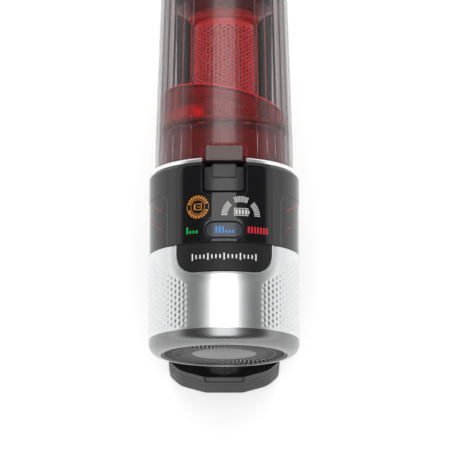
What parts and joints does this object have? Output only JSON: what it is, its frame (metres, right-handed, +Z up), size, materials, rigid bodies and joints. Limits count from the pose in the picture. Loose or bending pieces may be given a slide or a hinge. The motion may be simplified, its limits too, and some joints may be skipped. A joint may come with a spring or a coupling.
{
  "type": "handheld vacuum",
  "caption": "In-line cordless handheld vacuum with a clear dust cup, red cyclone, display panel, silver motor barrel, pistol grip and slide-on battery foot.",
  "frame": {"origin": "centre of the battery's flat base, which it stands on", "axes": "+Z up, +Y along the body towards the nozzle, +X to the right seen from behind"},
  "size_m": [0.09, 0.3018, 0.2333],
  "materials": {
    "satin_silver": "satin silver with fine dimples",
    "bright_trim": "bright metallised ring",
    "dark_gloss": "dark grey, glossy",
    "black_gloss": "piano black",
    "black_matt": "matt black",
    "light_grey": "light grey, glossy",
    "smoke_clear": "clear smoke-tinted plastic",
    "red": "deep red",
    "red_clear": "clear red plastic",
    "steel": "plain steel",
    "copper": "copper",
    "black_rubber": "black rubber",
    "foam": "open-cell filter foam",
    "circuit_board": "green circuit board",
    "cell_wrap": "blue shrink wrap"
  },
  "bodies": {
    "body": {"motor_housing": "satin_silver", "control_housing": "dark_gloss", "trim_ring": "bright_trim", "display_panel": "black_gloss", "label_plate": "black_matt", "label_bezel": "light_grey", "latch_recess": "black_matt", "display_board": "circuit_board", "motor_board": "circuit_board", "motor_can": "steel", "stator": "copper", "bearing_front": "steel", "bearing_rear": "steel", "motor_bracket": "black_matt", "motor_mount": "black_rubber", "fan_shroud": "black_matt", "premotor_guard": "black_matt", "handle_left": "black_matt", "handle_right": "black_matt", "handle_screw_1": "steel", "handle_screw_2": "steel", "handle_screw_3": "steel", "trigger_switch": "black_matt", "trigger_pin": "steel", "battery_dock": "black_gloss", "battery_contacts": "copper", "latch_spring": "steel", "trigger_spring": "steel"},
    "rotor": {"motor_shaft": "steel", "rotor_core": "copper", "impeller": "steel"},
    "dust_cup": {"cup_shell": "smoke_clear", "cyclone_shroud": "red", "cyclone_cone": "red", "shroud_skirt": "red_clear", "inlet_scroll": "red", "inlet_duct": "black_matt", "filter_cup": "red_clear", "premotor_filter": "foam", "cyclone_seal": "black_rubber", "front_flange": "red", "lid_hinge_pin": "steel"},
    "lid": {"lid": "dark_gloss", "lid_seal": "black_rubber", "inlet_nozzle": "black_matt", "nozzle_contacts": "black_matt"},
    "lid_latch": {"lid_latch": "black_matt"},
    "cup_latch": {"cup_latch_button": "dark_gloss"},
    "mode_button": {"mode_button": "dark_gloss"},
    "trigger": {"trigger": "red"},
    "battery": {"battery_case": "black_gloss", "battery_cover": "black_gloss", "cell_block": "cell_wrap", "battery_board": "circuit_board"},
    "battery_release": {"battery_release": "black_matt"},
    "exhaust_ring": {"exhaust_ring": "satin_silver"},
    "exhaust_unit": {"exhaust_grille": "satin_silver", "exhaust_filter": "foam"}
  },
  "joints": [
    {"name": "motor_spin", "type": "hinge", "parent": "body", "child": "rotor", "pos_m": [0, -0.006, 0.188], "axis": [0, 1, 0], "continuous": true},
    {"name": "cup_slide", "type": "slide", "parent": "body", "child": "dust_cup", "axis": [0, 1, 0], "range_m": [0, 0.06]},
    {"name": "lid_hinge", "type": "hinge", "parent": "dust_cup", "child": "lid", "pos_m": [0, 0.197, 0.146], "axis": [-1, 0, 0], "range_deg": [0, 95]},
    {"name": "lid_latch_slide", "type": "slide", "parent": "dust_cup", "child": "lid_latch", "axis": [0, -1, 0], "range_m": [0, 0.004], "stiffness_N_per_m": 600, "springref_m": -0.002},
    {"name": "cup_latch_slide", "type": "slide", "parent": "body", "child": "cup_latch", "axis": [0, -1, 0], "range_m": [0, 0.0055], "stiffness_N_per_m": 600, "springref_m": -0.002, "deforming": ["latch_spring"]},
    {"name": "mode_button_press", "type": "slide", "parent": "body", "child": "mode_button", "axis": [0, 0, -1], "range_m": [0, 0.0008], "stiffness_N_per_m": 1500, "springref_m": -0.0004},
    {"name": "trigger_pull", "type": "hinge", "parent": "body", "child": "trigger", "pos_m": [0, -0.019, 0.1378], "axis": [-1, 0, 0], "range_deg": [0, 9], "stiffness_Nm_per_rad": 0.6, "springref_deg": -5.73, "deforming": ["trigger_spring"]},
    {"name": "battery_slide", "type": "slide", "parent": "body", "child": "battery", "axis": [0, 1, 0], "range_m": [0, 0.09]},
    {"name": "battery_release_press", "type": "slide", "parent": "body", "child": "battery_release", "axis": [0, 1, 0], "range_m": [0, 0.0025], "stiffness_N_per_m": 900, "springref_m": -0.001},
    {"name": "exhaust_twist", "type": "hinge", "parent": "body", "child": "exhaust_ring", "pos_m": [0, -0.0635, 0.188], "axis": [0, 1, 0], "range_deg": [0, 25]},
    {"name": "exhaust_pull", "type": "slide", "parent": "exhaust_ring", "child": "exhaust_unit", "axis": [0, -1, 0], "range_m": [0, 0.04]}
  ]
}
